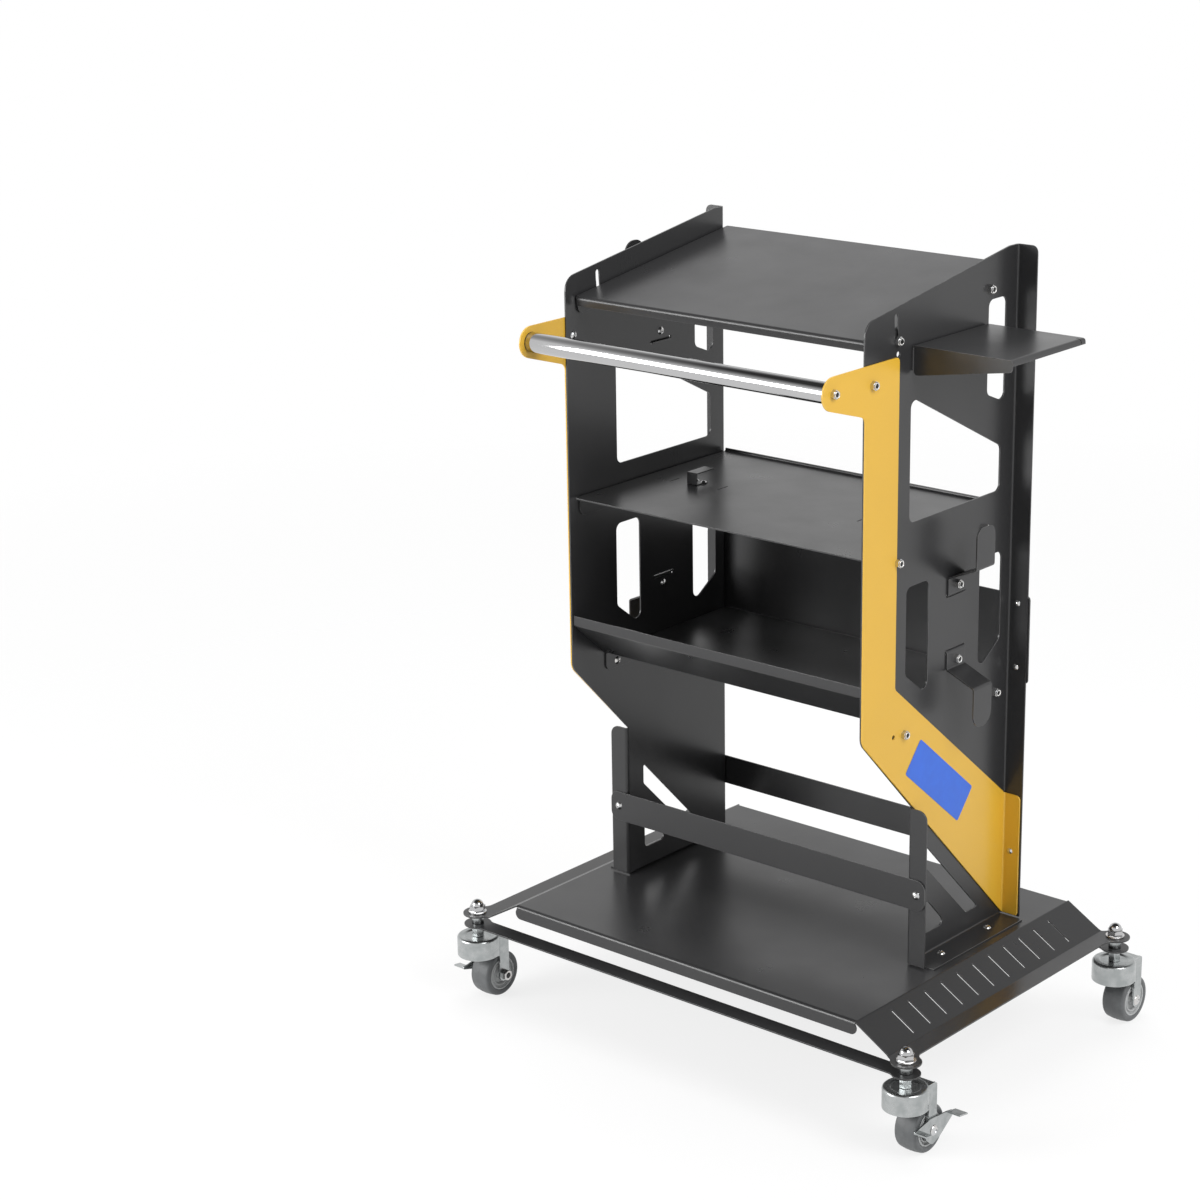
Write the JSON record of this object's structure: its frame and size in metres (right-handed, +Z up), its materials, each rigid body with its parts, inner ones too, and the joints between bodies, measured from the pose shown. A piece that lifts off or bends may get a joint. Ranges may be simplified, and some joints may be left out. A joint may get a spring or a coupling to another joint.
{
  "type": "tiered rolling cart",
  "caption": "Tiered rolling cart with a tilting top shelf, middle shelf, lower tray, side shelf, cable hooks and a push handle, on a slotted base with swivel casters, the front ones braked.",
  "frame": {"origin": "centre of the bounding box's footprint at floor level, midway between the side panels", "axes": "+X to the right seen from the handle side, +Y from front to back, +Z up from the floor"},
  "size_m": [0.764, 0.547, 1.0205],
  "materials": {
    "charcoal_steel": "satin charcoal powder coat",
    "yellow_steel": "satin yellow powder coat",
    "chrome_tube": "bright chrome plate",
    "black_plastic": "matt moulded",
    "black_steel": "satin black paint",
    "blue_label": "printed film",
    "bolt_steel": "bright zinc plate",
    "zinc_steel": "zinc-plated pressed steel",
    "grey_hub": "moulded",
    "grey_tread": "soft grey tread"
  },
  "bodies": {
    "cart": {"base_deck": "charcoal_steel", "front_base_rail": "charcoal_steel", "rear_base_rail": "charcoal_steel", "left_side_panel": "charcoal_steel", "right_side_panel": "charcoal_steel", "left_cover": "yellow_steel", "right_cover": "yellow_steel", "handle_tube": "chrome_tube", "handle_plugs": "black_plastic", "handle_fasteners": "bolt_steel", "mid_shelf": "charcoal_steel", "mid_shelf_bracket": "black_steel", "lower_tray": "charcoal_steel", "lower_back_panel": "charcoal_steel", "front_crossbar": "charcoal_steel", "rear_crossbar": "charcoal_steel", "side_shelf": "charcoal_steel", "right_upper_hook": "charcoal_steel", "right_lower_hook": "charcoal_steel", "left_upper_hook": "charcoal_steel", "left_lower_hook": "charcoal_steel", "label_plate": "blue_label", "stem_spacers": "zinc_steel", "stem_washers": "bolt_steel", "acorn_nuts": "chrome_tube", "caster_stems": "zinc_steel", "swivel_balls": "bolt_steel", "cover_fasteners": "bolt_steel", "mid_shelf_fasteners": "bolt_steel", "tray_fasteners": "bolt_steel", "hook_fasteners": "bolt_steel", "crossbar_fasteners": "bolt_steel", "foot_fasteners": "bolt_steel", "side_shelf_fasteners": "bolt_steel", "rivets": "bolt_steel", "top_shelf_pivots": "bolt_steel"},
    "top_shelf": {"top_shelf": "charcoal_steel", "top_shelf_guides": "bolt_steel"},
    "front_left_swivel": {"front_left_fork": "zinc_steel", "front_left_axle": "bolt_steel"},
    "front_left_wheel": {"front_left_hub": "grey_hub", "front_left_tread": "grey_tread"},
    "front_right_swivel": {"front_right_fork": "zinc_steel", "front_right_axle": "bolt_steel"},
    "front_right_wheel": {"front_right_hub": "grey_hub", "front_right_tread": "grey_tread"},
    "rear_left_swivel": {"rear_left_fork": "zinc_steel", "rear_left_axle": "bolt_steel"},
    "rear_left_wheel": {"rear_left_hub": "grey_hub", "rear_left_tread": "grey_tread"},
    "rear_right_swivel": {"rear_right_fork": "zinc_steel", "rear_right_axle": "bolt_steel"},
    "rear_right_wheel": {"rear_right_hub": "grey_hub", "rear_right_tread": "grey_tread"},
    "left_brake": {"left_brake_lever": "zinc_steel"},
    "right_brake": {"right_brake_lever": "zinc_steel"}
  },
  "joints": [
    {"name": "top_shelf_tilt", "type": "hinge", "parent": "cart", "child": "top_shelf", "pos_m": [0, 0.0691, 0.9748], "axis": [-1, 0, 0], "range_deg": [0, 8.6]},
    {"name": "front_left_caster_swivel", "type": "hinge", "parent": "cart", "child": "front_left_swivel", "pos_m": [-0.3446, -0.2455, 0.08], "axis": [0, 0, 1], "continuous": true},
    {"name": "front_left_wheel_spin", "type": "hinge", "parent": "front_left_swivel", "child": "front_left_wheel", "pos_m": [-0.3446, -0.2168, 0.0315], "axis": [1, 0, 0], "continuous": true},
    {"name": "front_right_caster_swivel", "type": "hinge", "parent": "cart", "child": "front_right_swivel", "pos_m": [0.3446, -0.2455, 0.08], "axis": [0, 0, 1], "continuous": true},
    {"name": "front_right_wheel_spin", "type": "hinge", "parent": "front_right_swivel", "child": "front_right_wheel", "pos_m": [0.3446, -0.2168, 0.0315], "axis": [1, 0, 0], "continuous": true},
    {"name": "rear_left_caster_swivel", "type": "hinge", "parent": "cart", "child": "rear_left_swivel", "pos_m": [-0.3446, 0.2133, 0.08], "axis": [0, 0, 1], "continuous": true},
    {"name": "rear_left_wheel_spin", "type": "hinge", "parent": "rear_left_swivel", "child": "rear_left_wheel", "pos_m": [-0.3446, 0.242, 0.0315], "axis": [1, 0, 0], "continuous": true},
    {"name": "rear_right_caster_swivel", "type": "hinge", "parent": "cart", "child": "rear_right_swivel", "pos_m": [0.3446, 0.2133, 0.08], "axis": [0, 0, 1], "continuous": true},
    {"name": "rear_right_wheel_spin", "type": "hinge", "parent": "rear_right_swivel", "child": "rear_right_wheel", "pos_m": [0.3446, 0.242, 0.0315], "axis": [1, 0, 0], "continuous": true},
    {"name": "left_brake_rock", "type": "hinge", "parent": "front_left_swivel", "child": "left_brake", "pos_m": [-0.3446, -0.2168, 0.0315], "axis": [-1, 0, 0], "range_deg": [0, 8]},
    {"name": "right_brake_rock", "type": "hinge", "parent": "front_right_swivel", "child": "right_brake", "pos_m": [0.3446, -0.2168, 0.0315], "axis": [-1, 0, 0], "range_deg": [0, 8]}
  ]
}
